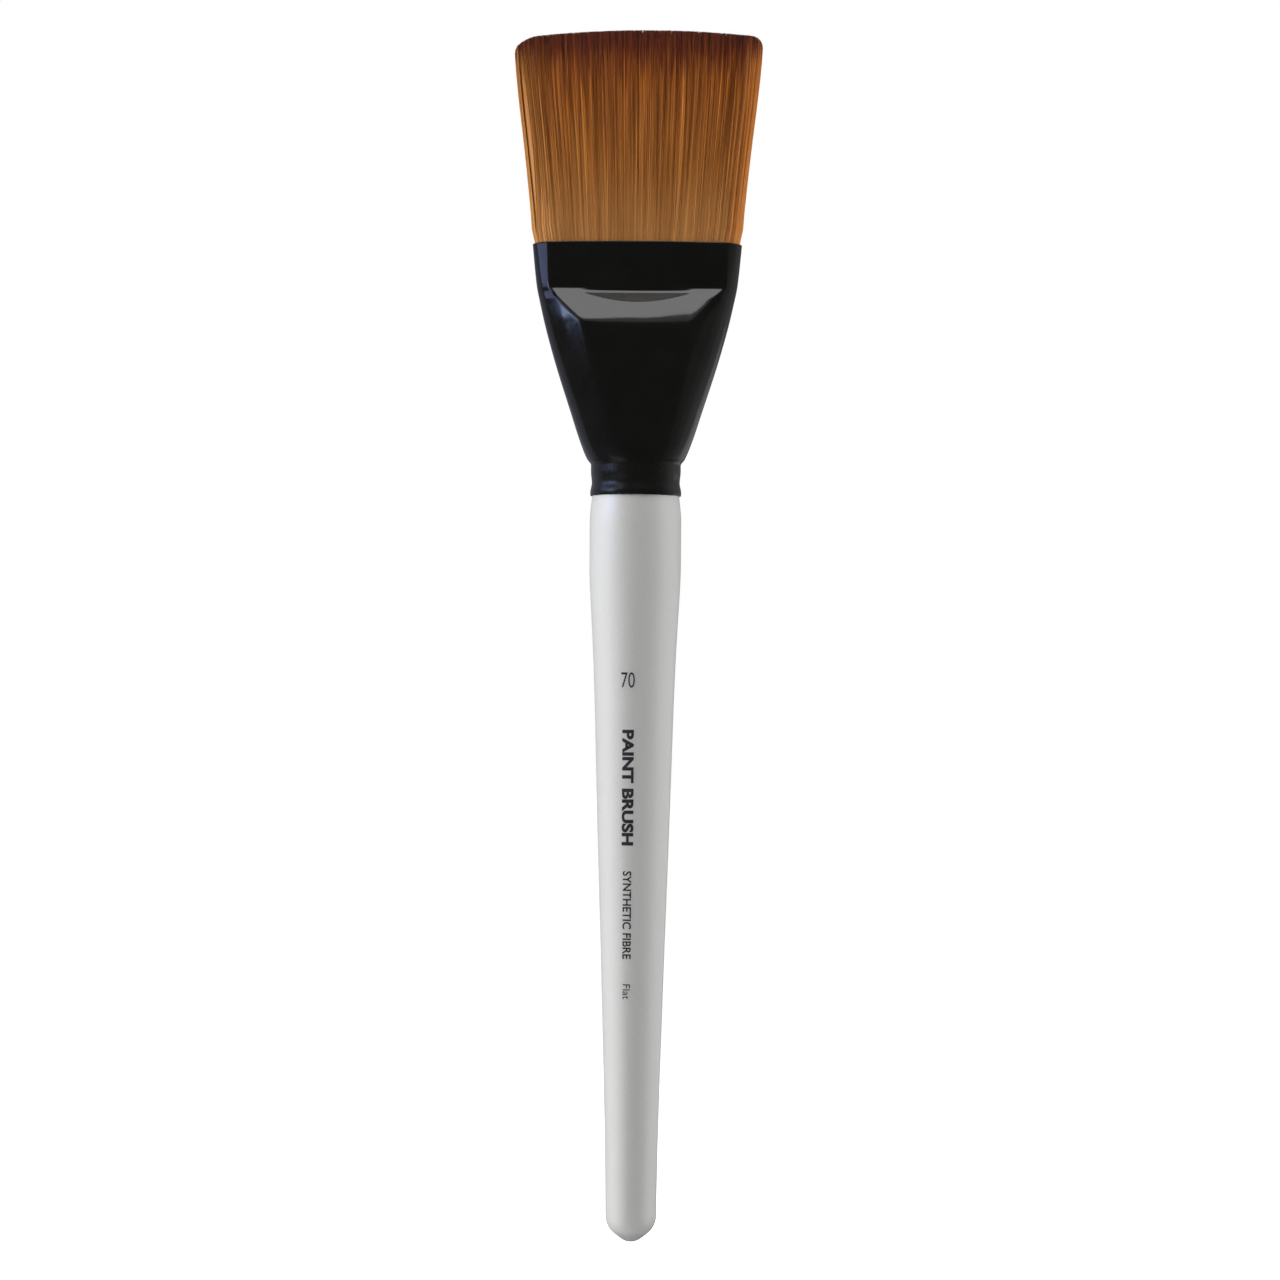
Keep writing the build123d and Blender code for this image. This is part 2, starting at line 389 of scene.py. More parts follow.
# A ridge runs up the cone on each side of the front and the back. Height, half width, half depth in
# the middle, ridge x, half depth at the ridge, softness of the ridge.
CONE = (
    (12.4, 16.5, 15.5, 8.3, 13.5, 2.0),
    (15.9, 18.05, 15.65, 8.8, 13.8, 2.0),
    (29.4, 22.6, 15.5, 10.8, 14.3, 2.0),
    (46.4, 28.0, 14.3, 15.0, 13.7, 1.5),
    (58.5, 31.3, 12.95, 18.6, 12.8, 0.6),
    (66.0, 33.0, 12.2, 21.0, 11.9, 0.6),
    (70.0, 33.85, 9.5, 29.0, 7.0, 0.5),
    (72.4, 34.2, 9.0, 29.4, 6.9, 0.5),
    (FERRULE_LENGTH, MOUTH_HALF_WIDTH, 8.5, 29.2, 7.0, 0.5),
)
# The neck has no ridges: the last three values of its rows only lead the cone's curves in.
NECK = tuple((height, radius, radius, 0.55 * radius, 0.9 * radius, 3.0) for height, radius in RIM_TO_NECK)
RIDGES_GROW = (11.5, 20)  # heights between which the round neck becomes the ridged cone

SIDE_POWER = 0.53  # how fast the sides fall away from the ridges
LOW_POWER_CUT = 0.08  # a smaller power low on the cone
POWER_SPAN = (40, 14)  # no cut above the first height, all of it below the second
ROUND = 0.5523  # handle length that makes a Bezier quarter round
FULLER = 0.2  # added to it towards the mouth
FULLER_SPAN = (14, 60)

# Width over which the cone's front rounds into the facet: crisp on the left and high up, rounder on
# the right. The spans are in x, or in height for the last.
CRISP_CREASE, MIDDLE_CREASE, EXTRA_RIGHT = 0.6, 1.2, 1.0
CRISP_LEFT = (-3, -19)
ROUNDER_RIGHT = (2, 20)
CRISP_TOP = (65, 69)
QUARTER = 88  # steps in a quarter of the ring

RESIN_BOTTOM, RESIN_TOP = 48.0, 63.0
RESIN_BEVEL = 0.3  # height of its rounded edges
RESIN_INSET, RESIN_EDGE_INSET = 0.06, 0.35  # its distance from the inner wall


def ferrule_section(height):
    """Half width, half depth, ridge x, half depth at the ridge, and softness, at one height."""
    knots, *columns = zip(*(NECK + CONE))
    return [float(smooth_curve(height, knots, column)) for column in columns]


def jaw_depth(x, height):
    """Half depth between the jaws that press the panel: flat above the crimp, sloping below."""
    below = CRIMP - height
    slope = 0.5 * (below + np.sqrt(below**2 + CRIMP_BEND**2)) * FACET_SLOPE
    reach = LENS_REACH * (1 - (x / LENS_HALF_WIDTH) ** 2)
    inside = np.clip(reach - np.maximum(below, LENS_TOP), 0, None) * smoothstep(below, *LENS_EDGE)
    return JAW + slope - LENS_TILT * inside


def crease_width(x, height):
    """Width over which the cone's front rounds into the facet."""
    rounded = MIDDLE_CREASE + EXTRA_RIGHT * smoothstep(x, *ROUNDER_RIGHT)
    crisp = np.maximum(smoothstep(x, *CRISP_LEFT), smoothstep(height, *CRISP_TOP))
    return rounded + (CRISP_CREASE - rounded) * crisp


def ferrule_quarter(height, inset, side):
    """x and y of a quarter of the ring, from its side to the middle; side is -1 or 1."""
    half_width, half_depth, ridge, ridge_depth, soft = ferrule_section(height)
    t = np.linspace(0, 1, QUARTER + 1)
    fullness = ROUND + FULLER * smoothstep(height, *FULLER_SPAN)
    x = half_width * ((1 - t) ** 3 + 3 * t * (1 - t) ** 2 + 3 * t * t * (1 - t) * fullness)
    y = half_depth * (t**3 + 3 * t * t * (1 - t) + 3 * t * (1 - t) ** 2 * fullness)
    front = half_depth - (half_depth - ridge_depth) * (x / ridge) ** 2
    past_ridge = (x - ridge) / (half_width - ridge)
    power = SIDE_POWER - LOW_POWER_CUT * smoothstep(height, *POWER_SPAN)
    flank = ridge_depth * np.clip(1 - past_ridge, 0, None) ** power
    y = y + (soft_min(front, flank, soft) - y) * smoothstep(height, *RIDGES_GROW)
    normal = np.stack([x / half_width**2, np.maximum(y, 1e-6) / half_depth**2], 1)
    normal /= np.linalg.norm(normal, axis=1)[:, None]
    if height > JAW_LOW:
        y = soft_min(y, jaw_depth(x, height), crease_width(side * x, height))
    y = np.maximum(y, 0)
    y[0] = 0
    return side * (x - normal[:, 0] * inset), y - normal[:, 1] * inset


def ferrule_ring(height, inset):
    """Ring of points at one height, on the ferrule's outside or at a distance inside it."""
    right_x, right_y = ferrule_quarter(height, inset, 1)
    left_x, left_y = ferrule_quarter(height, inset, -1)
    ring_x = np.concatenate([right_x[:-1], left_x[:0:-1], left_x[:-1], right_x[:0:-1]])
    ring_y = np.concatenate([right_y[:-1], left_y[:0:-1], -left_y[:-1], -right_y[:0:-1]])
    arch = MOUTH_ARCH * smoothstep(height, ARCH_START, FERRULE_LENGTH) * (ring_x / MOUTH_HALF_WIDTH) ** 2
    return np.stack([ring_x, ring_y, height - arch], 1)


def outside_heights():
    """Rows up the outside, closest together at both ends, in the groove and about the crimp."""
    return np.concatenate(
        [
            np.array([0.0, 0.12, 0.35]),
            np.arange(0.7, 13.0, 0.45),
            np.arange(13.2, 54.0, 1.2),
            np.arange(54.2, 73.0, 0.3),
            np.arange(73.4, FERRULE_LENGTH - 0.5, 1.0),
            FERRULE_LENGTH - np.array([0.42, 0.25, 0.12, 0.04, 0.0]),
        ]
    )


def inside_heights():
    """Rows down the inside, from the mouth to the rim."""
    return np.concatenate(
        [
            FERRULE_LENGTH - np.array([0.0, 0.05, 0.2]),
            np.arange(FERRULE_LENGTH - 1.0, CRIMP + 2, -2.0),
            np.arange(CRIMP + 1.5, CRIMP - 12, -0.6),
            np.arange(CRIMP - 13, 13, -3.0),
            np.arange(12.5, 0.5, -1.2),
            np.array([0.12, 0.0]),
        ]
    )


def make_ferrule():
    """The enamelled sleeve, with an inner wall and rounded lips at its rim and its mouth."""
    lip = {  # how far the rounding draws a row in
        0.0: 0.18,
        0.12: 0.06,
        FERRULE_LENGTH - 0.12: 0.05,
        FERRULE_LENGTH - 0.04: 0.12,
        FERRULE_LENGTH: 0.2,
    }
    ends = (0.0, FERRULE_LENGTH)
    rings = [ferrule_ring(h, lip.get(h, 0.0)) for h in outside_heights()]
    rings += [ferrule_ring(h, WALL - (LIP_FLARE if h in ends else 0)) for h in inside_heights()]
    columns = len(rings[0])
    points = np.concatenate(rings)
    points[:, 2] += RIM_Z
    faces = ring_faces(len(rings), columns)
    last = (len(rings) - 1) * columns
    faces += [(last + c, last + (c + 1) % columns, (c + 1) % columns, c) for c in range(columns)]
    piece = new_mesh("ferrule_shell", points, faces)
    dress(piece, enamel_surface())
    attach(piece, "brush")
    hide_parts("ferrule")


def make_resin():
    """The cured plug that holds the filaments, filling the inside of the shell."""
    ends = (RESIN_BOTTOM, RESIN_TOP)
    between = np.linspace(RESIN_BOTTOM + RESIN_BEVEL, RESIN_TOP - RESIN_BEVEL, 13)
    heights = np.concatenate([[RESIN_BOTTOM], between, [RESIN_TOP]])
    rings = [ferrule_ring(h, WALL + (RESIN_EDGE_INSET if h in ends else RESIN_INSET)) for h in heights]
    columns = len(rings[0])
    centres = np.array([(0, 0, h) for h in ends])
    points = np.concatenate(rings + [centres])
    points[:, 2] += RIM_Z
    faces = ring_faces(len(rings), columns)
    low, high = len(points) - 2, len(points) - 1
    last = (len(rings) - 1) * columns
    for c in range(columns):
        faces.append(((c + 1) % columns, c, low))
        faces.append((last + c, last + (c + 1) % columns, high))
    piece = new_mesh("resin_fill", points, faces)
    dress(piece, amber_surface("resin_amber", (0.16, 0.075, 0.02), (0.27, 0.14, 0.045), 0.18, 0.33))
    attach(piece, "brush")
    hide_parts("resin_plug")


make_ferrule()
make_resin()


# ---- tuft, with heights above the ferrule's mouth ----------------------------------------------
# Its half width and half depth by height.
HALF_WIDTH = (
    (-16, 30.0),
    (-4, 33.4),
    (-0.6, 34.8),
    (0.8, 35.4),
    (11, 36.5),
    (31.6, 38.8),
    (50, 41.0),
    (63.5, 42.2),
    (73.5, 42.6),
)
HALF_DEPTH = ((-16, 5.4), (0, 5.8), (11, 6.2), (31.6, 6.2), (50, 4.9), (63.5, 3.2), (73.5, 1.8))
ROOT = -12.0  # the filaments start this far below the mouth, inside the ferrule

# The trimmed edge is an arc with a rounded corner at each end: side, width and height of each.
TIP_HALF_WIDTH = 42.3
TIP_PEAK_X = 4.4
TIP_ARC_RADIUS = 338.0
CORNERS = ((-1, 9.5, 5.4), (1, 4.4, 4.4))
CORNER_POWER = 2.2

PRESSED_END = 6.6  # length of the rounded ends that the ferrule gives the tuft at the mouth
FREED = (4, 26)  # heights between which those ends become half circles

CORE_ROOTS = (ROOT - 2, 10, 8)  # lowest row, highest row and number of rows about the mouth
CORE_BODY = (12, 69.0, 44)  # and above it
CORE_STEPS = 65  # points across the front of the core
CORE_SIDE_GAP, CORE_FACE_GAP, CORE_TIP_GAP = 0.55, 0.5, 0.9  # it is this much inside the outline
CROWN_SHARE, CROWN_RISE = 0.5, 0.25  # share of its depth that the crown keeps, and its height

CLUMPS = 90  # places that the filaments gather towards
CLUMP_DRAWS = 100  # values drawn for the clumps, at least one more than there are
CLUMP_LEAN, OWN_LEAN = 0.0045, 0.0022  # sideways, as a share of the tuft's half width
LEAN_POWER = 1.5  # the lean grows towards the tips
CLUMP_LIFT, OWN_LIFT = 0.09, 0.07  # out of the surface
LIFTED = (8, 50)  # heights between which filaments lift out of the surface
LIFT_SHARE = 1.3  # times the share of the half depth: past 1 the lift is whole
SWAY, SWAY_TURN = 0.0012, 5.0  # share of the half width, and turn of the wave in radians
CALM, CALM_SPAN = 0.95, (0.7, 0.93)  # the edges lean and lift this much less
LOOSENED = (0, 45)  # heights between which packed filaments reach their own depth
TAPER, TAPER_START = 0.55, 0.86  # share of their width that they lose past this share of their length
POINT_LENGTH = 0.12

LONG_SEGMENTS, SHORT_SEGMENTS = 14, 5
FACE_COUNT, EDGE_COUNT, TIP_COUNT = 1500, 460, 4600
REACH = 0.992  # place across of the outermost ones on the faces and at the tips; the edge is at 1
FACE_LAYER = 0.35  # share of their depth below the surface that the faces' filaments have at the mouth


def tuft_half_width(height):
    return smooth_curve(height, *zip(*HALF_WIDTH))


def tuft_half_depth(height):
    return smooth_curve(height, *zip(*HALF_DEPTH))


def tip_height(x):
    """Height of the trimmed tips above the mouth, at x across the tuft."""
    top = TUFT_LENGTH - (x - TIP_PEAK_X) ** 2 / (2 * TIP_ARC_RADIUS)
    for side, width, drop in CORNERS:
        inward = TIP_HALF_WIDTH - side * x
        t = np.clip(1 - inward / width, 0, 1)
        top = top - drop * (1 - np.clip(1 - t**CORNER_POWER, 0, 1) ** (1 / CORNER_POWER))
    return top


def stadium_depth(across, height):
    """Share of the half depth that is left at a place across the tuft, -1 to 1."""
    width, depth = tuft_half_width(height), tuft_half_depth(height)
    inward = width * (1 - np.abs(across))
    pressed = np.clip(inward / PRESSED_END, 0, 1) ** SIDE_POWER
    free = np.sqrt(np.clip(1 - np.clip(1 - inward / depth, 0, 1) ** 2, 0, 1))
    return pressed + (free - pressed) * smoothstep(height, *FREED)


def cap_faces(start, columns, flip):
    """Faces that close a flat ring, from its front half straight across to its back half."""
    faces = []
    for c in range(columns // 2):
        left, right = (columns - c) % columns, columns - c - 1
        face = list(dict.fromkeys([start + c, start + c + 1, start + right, start + left]))
        if len(face) > 2:
            faces.append(tuple(reversed(face)) if flip else tuple(face))
    return faces


def make_core(material):
    """Closed body of packed filaments, a little inside the surface ones."""
    levels = np.concatenate([np.linspace(*CORE_ROOTS), np.linspace(*CORE_BODY)])
    across = np.sin(np.linspace(-math.pi / 2, math.pi / 2, CORE_STEPS))
    rings, uv = [], []
    for level in levels:
        width, depth = tuft_half_width(level) - CORE_SIDE_GAP, tuft_half_depth(level) - CORE_FACE_GAP
        x = across * width
        y = stadium_depth(across, level) * depth
        height = np.minimum(level, tip_height(x) - CORE_TIP_GAP)
        front = np.stack([x, -y, height], 1)
        back = np.stack([x, y, height], 1)[::-1][1:-1]
        ring = np.concatenate([front, back])
        rings.append(ring)
        uv.append(np.stack([0.5 + 0.5 * ring[:, 0] / width, ring[:, 2] / TUFT_LENGTH], 1))
    rings.append(rings[-1] * (1, CROWN_SHARE, 1) + (0, 0, CROWN_RISE))
    uv.append(uv[-1])
    columns = len(rings[0])
    last = (len(rings) - 1) * columns
    faces = ring_faces(len(rings), columns) + cap_faces(last, columns, False) + cap_faces(0, columns, True)
    points = np.concatenate(rings)
    points[:, 2] += MOUTH_Z
    piece = new_mesh("filament_core", points, faces, np.concatenate(uv))
    dress(piece, material)
    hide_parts("filament_tuft", "filament_roots")
    return piece


def filament_lines(across, depth, radius, low, trim, segments, layered):
    """Points along the centre of each filament, from its root to its trimmed tip."""
    count = len(across)
    clumps = np.sort(rng.uniform(-1, 1, CLUMPS))
    which = np.searchsorted(clumps, across)
    nearest = clumps[np.clip(which, 0, CLUMPS - 1)]
    lean = rng.normal(0, CLUMP_LEAN, CLUMP_DRAWS)[which] + rng.normal(0, OWN_LEAN, count)
    lift = rng.normal(0, CLUMP_LIFT, CLUMP_DRAWS)[which] + rng.normal(0, OWN_LIFT, count)
    calm = 1 - CALM * smoothstep(np.abs(across), *CALM_SPAN)
    lean *= calm
    lift *= calm
    sway = rng.normal(0, SWAY, count)[:, None]
    phase = rng.uniform(0, 2 * math.pi, count)[:, None]
    top = tip_height(across * TIP_HALF_WIDTH) - trim
    height = low[:, None] + (top - low)[:, None] * np.linspace(0, 1, segments + 1)
    free = np.clip(height / TUFT_LENGTH, 0, 1)
    place = across[:, None] + (nearest - across)[:, None] * free * (1 - free)
    place = place + lean[:, None] * free**LEAN_POWER + sway * np.sin(phase + SWAY_TURN * free) * free
    place = np.clip(place, -1, 1)
    x = place * (tuft_half_width(height) - radius[:, None])
    share = stadium_depth(place, height)
    face = np.sign(depth)
    packed = face - (face - depth) * layered
    layer = packed[:, None] + (depth - packed)[:, None] * smoothstep(height, *LOOSENED)
    y = layer * share * (tuft_half_depth(height) - radius[:, None])
    lifted = smoothstep(height, *LIFTED) * np.minimum(1, share * LIFT_SHARE)
    y = y + face[:, None] * lift[:, None] * lifted
    return np.stack([x, y, height], -1)


def filament_block(lines, radius):
    """A tapering three-sided rod round each line: its points, one row a filament, and its faces."""
    count, levels = lines.shape[:2]
    taper = smoothstep(np.linspace(0, 1, levels), TAPER_START, 1.0)
    thick = radius[:, None] * (1 - TAPER * taper)
    twist = rng.uniform(0, 2 * math.pi, count)
    sides = []
    for k in range(3):
        angle = twist + 2 * math.pi * k / 3
        offset = np.stack([np.cos(angle), np.sin(angle), np.zeros(count)], -1)[:, None, :]
        sides.append(lines + offset * thick[..., None])
    rod = np.stack(sides, 2).reshape(count, levels * 3, 3)
    point = lines[:, -1] + (0, 0, POINT_LENGTH)
    block = np.concatenate([rod, point[:, None], lines[:, :1]], 1)
    tip, root = levels * 3, levels * 3 + 1
    last = tip - 3
    faces = ring_faces(levels, 3)
    faces += [(last + k, last + (k + 1) % 3, tip) for k in range(3)]
    faces += [((k + 1) % 3, k, root) for k in range(3)]
    return block, faces


def make_filaments(name, across, depth, radius, low, segments, material, trim, shade=None, layered=1.0):
    """Thin three-sided filaments. across and depth are each one's place in the tuft, -1 to 1."""
    lines = filament_lines(across, depth, radius, low, trim, segments, layered)
    block, faces_one = filament_block(lines, radius)
    each = block.shape[1]
    faces = [tuple(i * each + v for v in face) for i in range(len(across)) for face in faces_one]
    points = block.reshape(-1, 3)
    column = 0.5 + 0.5 * across if shade is None else shade
    uv = np.stack([np.repeat(column, each), np.clip(points[:, 2] / TUFT_LENGTH, 0, 1)], 1)
    points[:, 2] += MOUTH_Z
    piece = new_mesh(name, points, faces, uv)
    dress(piece, material)
    return piece


def face_filaments(name, side, material):
    """Long filaments over the front or the back; side is -1 or 1."""
    across = np.linspace(-REACH, REACH, FACE_COUNT) + rng.uniform(-0.0015, 0.0015, FACE_COUNT)
    depth = side * (1 - rng.uniform(0, 0.12, FACE_COUNT))
    radius = rng.uniform(0.10, 0.16, FACE_COUNT)
    low = np.full(FACE_COUNT, ROOT)
    trim = rng.uniform(0.10, 0.22, FACE_COUNT)
    return make_filaments(
        name, across, depth, radius, low, LONG_SEGMENTS, material, trim, layered=FACE_LAYER
    )


def edge_filaments(material):
    """Long filaments round the two edges; towards the front and the back their map column is shifted a
    little, which changes the painted edge light and the streaks they get.
    """
    side = np.sign(rng.uniform(-1, 1, EDGE_COUNT))
    across = side * rng.uniform(0.975, 0.999, EDGE_COUNT)
    depth = rng.uniform(-1, 1, EDGE_COUNT)
    trim = rng.uniform(0.12, 0.25, EDGE_COUNT)
    radius = rng.uniform(0.13, 0.20, EDGE_COUNT)
    low = np.full(EDGE_COUNT, ROOT)
    # The map column, shifted by depth, sets how much painted edge light each filament takes.
    shade = np.clip(0.5 + 0.5 * across - 0.02 * np.abs(depth), 0, 1)
    return make_filaments(
        "filaments_edges", across, depth, radius, low, LONG_SEGMENTS, material, trim, shade=shade
    )


def tip_filaments(material):
    """Short filaments that fill the trimmed end between the two faces."""
    across = np.linspace(-REACH, REACH, TIP_COUNT) + rng.uniform(-0.001, 0.001, TIP_COUNT)
    depth = rng.uniform(-0.92, 0.92, TIP_COUNT)
    low = tip_height(across * TIP_HALF_WIDTH) - rng.uniform(9, 14, TIP_COUNT)
    trim = rng.uniform(0.12, 0.30, TIP_COUNT)
    radius = rng.uniform(0.14, 0.21, TIP_COUNT)
    return make_filaments("filaments_tips", across, depth, radius, low, SHORT_SEGMENTS, material, trim)


def make_tuft():
    material = filament_surface()
    pieces = [
        make_core(material),
        face_filaments("filaments_front", -1, material),
        face_filaments("filaments_back", 1, material),
        edge_filaments(material),
        tip_filaments(material),
    ]
    for piece in pieces:
        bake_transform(piece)


make_tuft()


# ---- printing on the handle, with heights above the butt ---------------------------------------
HANDLE_SHOWN = 245  # the handle's outline is taken up to this height
INK_LIFT = 0.015
INK_THICKNESS = 0.03
PRINT_X = -2.2  # the print's middle is this far round from the front's middle
SLICE_REACH, SLICE = 6.0, 0.5  # letters are cut into narrow strips, so that they bend round the handle
WELD = 1e-4

# Name, words, height of the middle, letter size, turned along the handle, widening, thickening.
PRINTS = (
    ("print_size", "70", 190.2, 7.4, False, 0.68, 0.0),
    ("print_kind", "PAINT BRUSH", 154.4, 5.1, True, 1.25, 0.22),
    ("print_fibre", "SYNTHETIC FIBRE", 111.6, 4.0, True, 0.94, 0.07),
    ("print_shape", "Flat", 85.9, 3.7, True, 1.0, 0.0),
)


def handle_profile():
    """Heights above the butt and radii of the CAD handle's outside."""
    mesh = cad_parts["handle"].data
    points = np.zeros(len(mesh.vertices) * 3)
    mesh.vertices.foreach_get("co", points)
    points = points.reshape(-1, 3) / MM
    levels = np.round(points[:, 2] - BUTT_Z, 1)
    radii = np.hypot(points[:, 0], points[:, 1])
    heights = np.unique(levels[levels < HANDLE_SHOWN])
    return heights, np.array([radii[levels == level].max() for level in heights])


def flat_letters(name, words, size, turned, widen, thicken):
    """Mesh of lettering about the origin, in the plane z = 0."""
    curve = bpy.data.curves.new(name, "FONT")
    curve.body = words
    curve.align_x, curve.align_y = "CENTER", "CENTER"
    curve.size, curve.extrude, curve.offset = size, INK_THICKNESS / 2, thicken
    curve.resolution_u = 6
    letters = link_object(name, curve)
    mesh = bpy.data.meshes.new_from_object(letters.evaluated_get(bpy.context.evaluated_depsgraph_get()))
    bpy.data.objects.remove(letters)
    mesh.transform(Matrix.Diagonal((widen, 1, 1, 1)))
    if turned:
        mesh.transform(Matrix.Rotation(-math.pi / 2, 4, "Z"))
    return mesh


def make_print(name, words, height, size, turned, widen, thicken, profile, ink):
    """Lettering wrapped on the front of the handle, centred at a height above the butt."""
    mesh = flat_letters(name, words, size, turned, widen, thicken)
    work = bmesh.new()
    work.from_mesh(mesh)
    for cut in np.arange(-SLICE_REACH, SLICE_REACH + 0.01, SLICE):
        geometry = work.verts[:] + work.edges[:] + work.faces[:]
        bmesh.ops.bisect_plane(work, geom=geometry, plane_co=(cut, 0, 0), plane_no=(1, 0, 0))
    bmesh.ops.remove_doubles(work, verts=work.verts, dist=WELD)
    for vertex in work.verts:
        up = height + vertex.co.y
        radius = float(np.interp(up, *profile)) + INK_LIFT + INK_THICKNESS / 2
        angle = (vertex.co.x + PRINT_X) / radius
        reach = radius + vertex.co.z
        vertex.co = Vector((reach * math.sin(angle), -reach * math.cos(angle), BUTT_Z + up)) * MM
    work.to_mesh(mesh)
    work.free()
    mesh.name = name
    piece = link_object(name, mesh)
    dress(piece, ink)
    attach(piece, "brush")


def make_prints():
    profile, ink = handle_profile(), ink_surface()
    for row in PRINTS:
        make_print(*row, profile, ink)


make_prints()


# ---- floor, light and camera, in metres --------------------------------------------------------
FLOOR_Z = HANDLE_LOW.z - 0.16
FLOOR_HALF, FLOOR_CELLS, FLOOR_DISH = 6.0, 40, 0.0004

BRUSH_MIDDLE = (0, 0, -0.03)
PANEL = (0, 0, 0.08)
COOL = (0.72, 0.78, 1.0)
WARM = (1.0, 0.9, 0.87)

# Lamps that stand for a pale wall on the right, one metre away, and show only as reflections:
# azimuth, width, power.
WALL_HEIGHT, WALL_LEVEL = 1.3, 0.1
RIGHT_WALLS = ((98, 1.25, 0.4), (105, 0.93, 0.3), (128, 1.45, 0.75))

# Lamps that show only as reflections, for the views from the sides and the back: azimuth,
# elevation, width, height, power.
GLOW_DISTANCE = 1.2
SIDE_GLOWS = (
    (-44, 22, 0.35, 0.30, 0.30),
    (-45, -24, 0.7, 0.4, 0.35),
    (130, 29, 0.35, 0.30, 0.35),
    (135, -15, 0.7, 0.4, 0.35),
    (180, 62, 1.0, 0.42, 3.0),
)

CAMERA_DISTANCE = 1.01
CAMERA_PLACE = (0.0018, -CAMERA_DISTANCE, -0.0331)
CAMERA_ROLL = 0.39  # degrees
COVERED = 0.434  # width that fills the picture


def make_floor():
    """Pale seamless floor, slightly dished so that it is not a bare plane."""
    line = np.linspace(-FLOOR_HALF, FLOOR_HALF, FLOOR_CELLS + 1)
    x, y = np.meshgrid(line, line)
    z = FLOOR_DISH * (x**2 + y**2)
    points = np.stack([x, y, z + FLOOR_Z], -1).reshape(-1, 3) / MM
    width = FLOOR_CELLS + 1
    faces = [
        (r * width + c, r * width + c + 1, (r + 1) * width + c + 1, (r + 1) * width + c)
        for r in range(FLOOR_CELLS)
        for c in range(FLOOR_CELLS)
    ]
    floor = new_mesh("floor", points, faces)
    s = Surface("pale_floor", Roughness=0.8, Emission_Strength=0.95, Emission_Color=(1, 1, 1, 1))
    s.feed("Base Color", s.tint(s.noise(s.place(), 3.0), (0.86, 0.86, 0.86), (0.9, 0.9, 0.9)))
    dress(floor, s.material)
    floor.visible_diffuse = floor.visible_glossy = False


def add_light(name, place, target, width, height, power, colour=(1, 1, 1), glossy=True, diffuse=True, roll=0):
    """A rectangular lamp at a place, facing a target and rolled in its own plane by some degrees."""
    light = bpy.data.lights.new(name, "AREA")
    light.shape, light.size, light.size_y = "RECTANGLE", width, height
    light.energy, light.color = power, colour
    lamp = link_object(name, light)
    lamp.location = place
    facing = (Vector(target) - Vector(place)).to_track_quat("-Z", "Y")
    lamp.rotation_euler = (facing @ Matrix.Rotation(math.radians(roll), 4, "Z").to_quaternion()).to_euler()
    lamp.visible_glossy, lamp.visible_diffuse = glossy, diffuse
    lamp.visible_camera = False


def add_soft_boxes():
    """Large lamps that light the brush from the front and show in no reflection."""
    add_light("left_box", (-1.1, -0.24, -0.05), BRUSH_MIDDLE, 1.3, 1.6, 26.5, glossy=False)
    add_light("right_box", (1.1, -0.2, -0.05), BRUSH_MIDDLE, 0.9, 1.6, 14.4, glossy=False)
    add_light("low_box", (0, -0.3, -1.2), BRUSH_MIDDLE, 1.0, 0.8, 10, glossy=False)


def add_windows():
    """Small bluish lamps close to the ferrule's left side that show only as reflections."""
    add_light(
        "left_window", (-0.411, -0.087, 0.132), (0, 0, 0.09), 0.306, 0.071, 0.16,
        colour=(0.43, 0.53, 1.0), diffuse=False,
    )
    add_light(
        "left_sill", (-0.404, -0.115, 0.081), (0, 0, 0.085), 0.36, 0.034, 0.075,
        colour=(0.46, 0.56, 1.0), diffuse=False,
    )
    add_light(
        "left_gleam", (-0.265, -0.141, 0.0875), PANEL, 0.12, 0.016, 0.046,
        colour=(0.5, 0.62, 1.0), diffuse=False, roll=22,
    )


def add_top_lights():
    """Lamps above the front, for the sloping facet and the lens to reflect."""
    add_light("top_box", (0, -0.56, 1.15), PANEL, 1.0, 0.42, 4.8)
    add_light("top_fade", (0, -0.84, 0.95), PANEL, 1.0, 0.2, 0.32, diffuse=False)
    add_light("ceiling", (0, -0.12, 1.35), PANEL, 1.1, 0.42, 1.6, colour=WARM)


def add_back_lights():
    """A large lamp for the back, and a bluish one that shows only as a reflection."""
    add_light("back_box", (0.2, 1.2, 0.6), BRUSH_MIDDLE, 1.2, 0.8, 8, glossy=False)
    add_light("back_left", (-0.8, 0.75, 0.1), BRUSH_MIDDLE, 1.3, 1.3, 1.5, colour=COOL, diffuse=False)


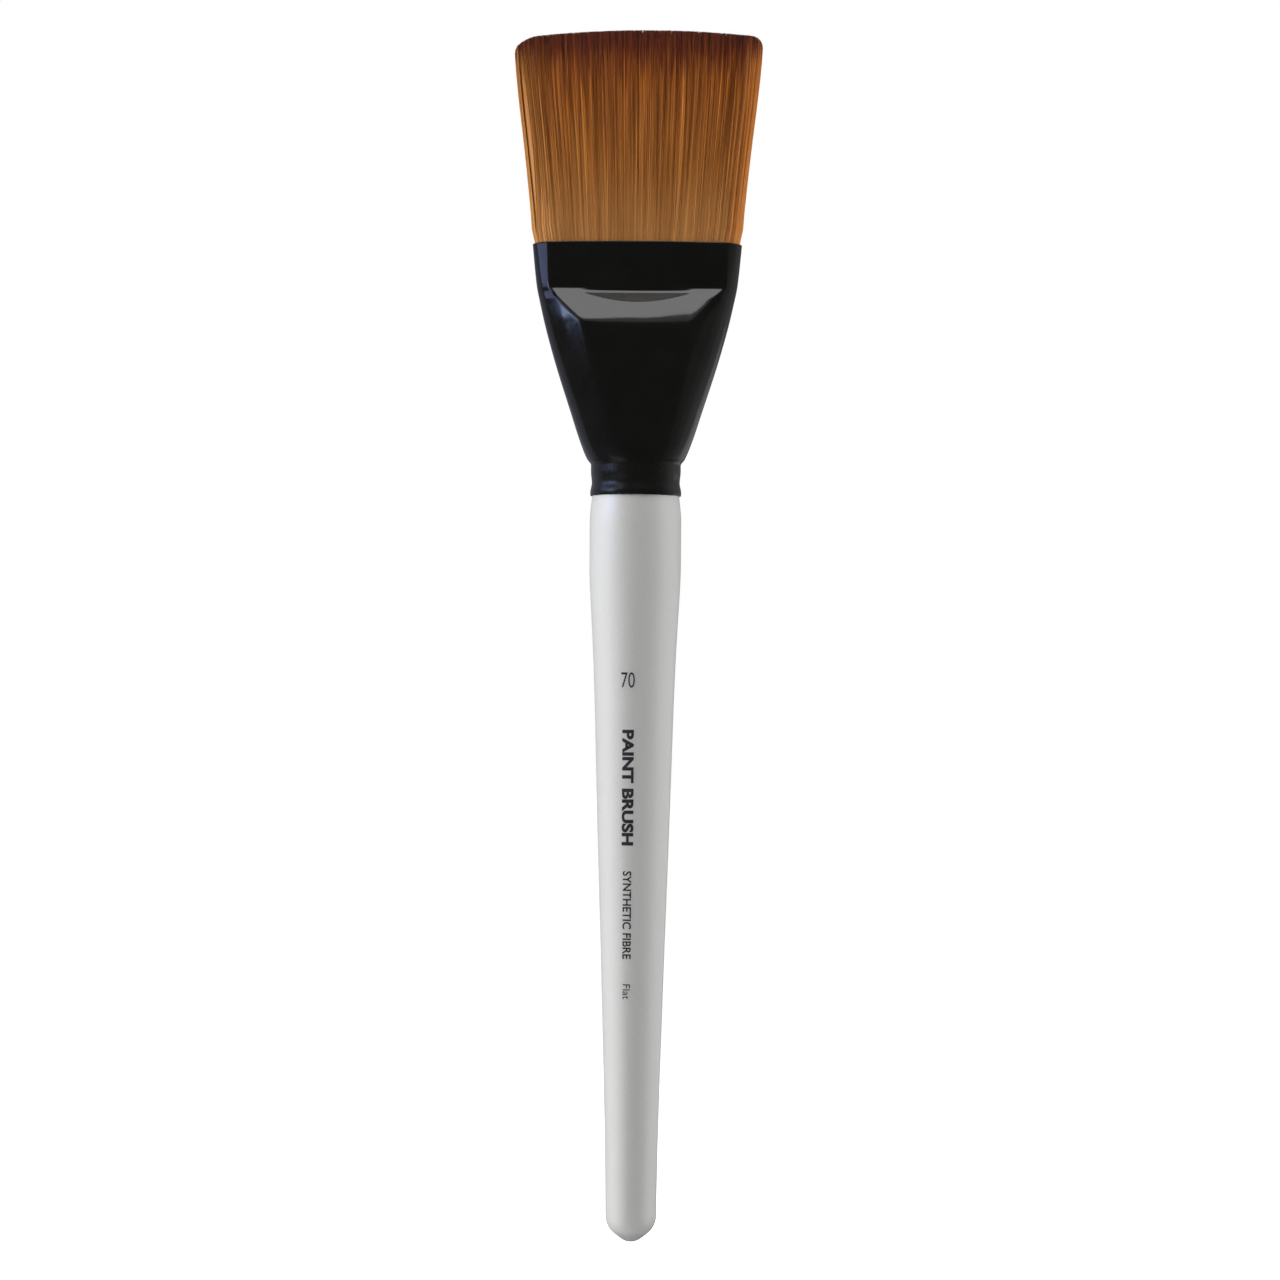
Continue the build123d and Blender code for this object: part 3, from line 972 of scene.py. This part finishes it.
def add_right_walls():
    for step, (azimuth, width, power) in enumerate(RIGHT_WALLS):
        turned = math.radians(azimuth)
        place = (math.sin(turned), -math.cos(turned), WALL_LEVEL)
        add_light(f"right_wall_{step}", place, BRUSH_MIDDLE, width, WALL_HEIGHT, power, diffuse=False)


def add_side_glows():
    for step, (azimuth, elevation, width, height, power) in enumerate(SIDE_GLOWS):
        turned, raised = math.radians(azimuth), math.radians(elevation)
        level = GLOW_DISTANCE * math.cos(raised)
        up = GLOW_DISTANCE * math.sin(raised) + PANEL[2]
        place = (level * math.sin(turned), -level * math.cos(turned), up)
        add_light(f"side_glow_{step}", place, PANEL, width, height, power, diffuse=False)


def make_world():
    """White to the camera, soft grey for lighting and reflections."""
    world = bpy.data.worlds.new("studio")
    world.use_nodes = True
    tree = world.node_tree
    grey = tree.nodes["Background"]
    grey.inputs["Color"].default_value = (0.098, 0.098, 0.094, 1)
    white = tree.nodes.new("ShaderNodeBackground")
    white.inputs["Color"].default_value = (1, 1, 1, 1)
    path, mix = tree.nodes.new("ShaderNodeLightPath"), tree.nodes.new("ShaderNodeMixShader")
    tree.links.new(path.outputs["Is Camera Ray"], mix.inputs["Fac"])
    tree.links.new(grey.outputs["Background"], mix.inputs[1])
    tree.links.new(white.outputs["Background"], mix.inputs[2])
    tree.links.new(mix.outputs["Shader"], tree.nodes["World Output"].inputs["Surface"])
    bpy.context.scene.world = world


def make_camera():
    """A camera square to the front, a little rolled."""
    camera = bpy.data.cameras.new("camera")
    camera.sensor_width = 36
    camera.lens = camera.sensor_width * CAMERA_DISTANCE / COVERED
    camera.clip_start, camera.clip_end = 0.01, 100
    view = link_object("camera", camera)
    view.location = CAMERA_PLACE
    view.rotation_mode = "QUATERNION"
    roll = Matrix.Rotation(math.radians(CAMERA_ROLL), 4, "Z").to_quaternion()
    view.rotation_quaternion = Vector((0, 1, 0)).to_track_quat("-Z", "Y") @ roll
    bpy.context.scene.camera = view


make_floor()
make_world()
add_soft_boxes()
add_windows()
add_top_lights()
add_back_lights()
add_right_walls()
add_side_glows()
make_camera()
bpy.context.scene.view_settings.view_transform = "Standard"
